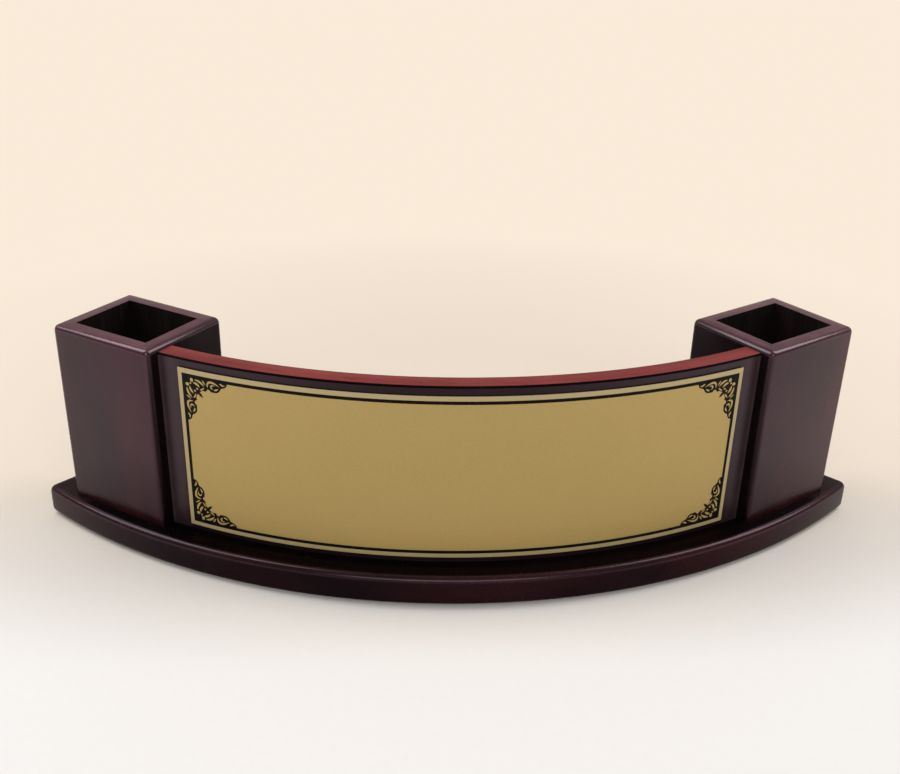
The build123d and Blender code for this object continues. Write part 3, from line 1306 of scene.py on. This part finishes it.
# %% [markdown]
# The floor is one big plane, so that it fills the view: white in front, buff behind. Near the object it
# is an ordinary matt surface, which takes the shadow. Further off it would fall dark, because the lamps
# are small, so there the camera and the reflections see a plain pale colour, which turns to cream behind
# and far away. Dark lacquer also needs something dark to mirror, so a photographer lays black cards round
# it. Here only reflections see such cards, down the floor's middle and behind the plate.

# %% Lay the floor
floor_size = 9.0
floor_white = (0.885, 0.855, 0.835, 1)
floor_cream = (0.955, 0.83, 0.695, 1)
floor_buff = (0.80, 0.69, 0.575, 1)
floor_speck = (0.5, 0.46, 0.42, 1)
floor_card = (0.20, 0.175, 0.17, 1)
floor_roughness = 0.9
floor_specular = 0.1
buff_limits = (-0.10, 0.06)
card_sides = (0.12, 0.26)
card_back = (0.04, 0.12)
plain_limits = (0.24, 0.50)
cream_limits = (0.7, 2.4)
specks_per_metre = 260
speck_detail = 4
speck_range = (0, 0.03)


def looked_at(tree):
    """The kinds of ray, and a mask of what the camera, a reflection or a view through glass sees."""
    rays = add(tree, "LightPath").outputs
    seen = calculate(tree, "MAXIMUM", rays["Is Camera Ray"], rays["Is Glossy Ray"])
    return rays, calculate(tree, "MAXIMUM", seen, rays["Is Transmission Ray"])


deselect()
bpy.ops.mesh.primitive_plane_add(size=1)
ground_plane = fresh("studio_floor", (floor_size, floor_size, 1))
floor_paint, tree, shader = start_material("studio_floor_paint")
place = object_place(tree)
axes = add(tree, "SeparateXYZ", {0: place}).outputs
distance = add(tree, "VectorMath", {0: place}, operation="LENGTH").outputs["Value"]
rays, seen = looked_at(tree)
behind = ramp(tree, axes["Y"], buff_limits)
middle = spread(tree, calculate(tree, "ABSOLUTE", axes["X"]), card_sides, (1, 0))
cards = calculate(tree, "MAXIMUM", middle, ramp(tree, axes["Y"], card_back))
specks = spread(tree, noise(tree, place, specks_per_metre, speck_detail), noise_span, speck_range)
paint = mix_colours(tree, behind, floor_white, floor_buff)
paint = mix_colours(tree, specks, paint, floor_speck)
paint = tint(tree, paint, rays["Is Glossy Ray"], cards, floor_card)
beyond = calculate(tree, "MAXIMUM", behind, ramp(tree, distance, cream_limits))
plain = add(tree, "Emission", {"Color": mix_colours(tree, beyond, floor_white, floor_cream)})
plain_share = calculate(tree, "MULTIPLY", ramp(tree, distance, plain_limits), seen)
both = add(tree, "MixShader", {0: plain_share, 1: shader.outputs[0], 2: plain.outputs[0]})
output = next(node for node in tree.nodes if node.type == "OUTPUT_MATERIAL")
tree.links.new(paint, shader.inputs["Base Color"])
tree.links.new(both.outputs[0], output.inputs["Surface"])
shader.inputs["Roughness"].default_value = floor_roughness
shader.inputs["Specular IOR Level"].default_value = floor_specular
finish(ground_plane, floor_paint)
print("floor:", floor_size, "m square")

# %% [markdown]
# The light is a plain studio. An even, low surround lights everything alike. Reflections see it as a dim
# room with a cream horizon, darker in front, which keeps the lacquer dark, and the camera sees it as cream.

# %% Light the surround
surround_level = 0.48
surround_white = (1.0, 1.0, 1.0, 1)
room_front = (0.10, 0.10, 0.10, 1)
room_back = (0.30, 0.28, 0.27, 1)
room_limits = (-0.3, 0.6)
horizon_limits = (0.03, 0.20)
world = bpy.data.worlds.new("studio")
bpy.context.scene.world = world
world.use_nodes = True
tree = world.node_tree
tree.nodes.clear()
rays, seen = looked_at(tree)
even = add(tree, "Background", {"Color": surround_white, "Strength": surround_level})
direction = add(tree, "SeparateXYZ", {0: add(tree, "TexCoord").outputs["Generated"]}).outputs
room = mix_colours(tree, ramp(tree, direction["Y"], room_limits), room_front, room_back)
room = mix_colours(tree, ramp(tree, direction["Z"], horizon_limits), floor_cream, room)
room = mix_colours(tree, rays["Is Camera Ray"], room, floor_cream)
cream = add(tree, "Background", {"Color": room})
sky = add(tree, "MixShader", {0: seen, 1: even.outputs[0], 2: cream.outputs[0]})
add(tree, "OutputWorld", {"Surface": sky.outputs[0]})
print("surround at", surround_level)

# %% [markdown]
# Two softboxes hang above, to the left and right, and draw the bright lines along the rounded edges. A
# tilted one in front is a weak fill, which lifts the gold sheet.

# %% Hang the lamps
lamp_watts = 6.0
softbox_size = (1.05, 0.42)
fill_size = (1.2, 0.5)
fill_tilt = radians(55)
# Each lamp has its place, its tilt from straight down and its size.
lamps = {
    "left_softbox": ((-0.80, 0.16, 0.88), 0, softbox_size),
    "right_softbox": ((0.88, 0.16, 0.88), 0, softbox_size),
    "front_fill": ((0, -1.3, 0.95), fill_tilt, fill_size),
}
for name, (lamp_place, tilt, size) in lamps.items():
    deselect()
    bpy.ops.object.light_add(type="AREA", location=lamp_place, rotation=(tilt, 0, 0))
    lamp = bpy.context.active_object
    lamp.name = name
    lamp.data.shape = "RECTANGLE"
    lamp.data.size, lamp.data.size_y = size
    lamp.data.energy = lamp_watts
    print(name, lamp_watts, "W")

# %% [markdown]
# The camera stands in front, a little to the left and above, looking down at the plate. It has a slight
# roll, as a camera held in the hand does.

# %% Set up the camera
camera_place = Vector((-0.03265, -0.48353, 0.31495))
camera_heading = radians(-3.253)
camera_drop = radians(25.594)
camera_roll = radians(1.422)
camera_lens = 44.10
sensor_width = 36
bpy.ops.object.camera_add()
camera = bpy.context.active_object
camera.matrix_world = (
    Matrix.Translation(camera_place)
    @ Matrix.Rotation(camera_heading, 4, "Z")
    @ Matrix.Rotation(pi / 2 - camera_drop, 4, "X")
    @ Matrix.Rotation(camera_roll, 4, "Z")
)
camera.data.sensor_width = sensor_width
camera.data.lens = camera_lens
bpy.context.scene.camera = camera
bpy.context.scene.view_settings.view_transform = "Standard"
print("camera", rounded(camera_place), "lens", camera_lens)
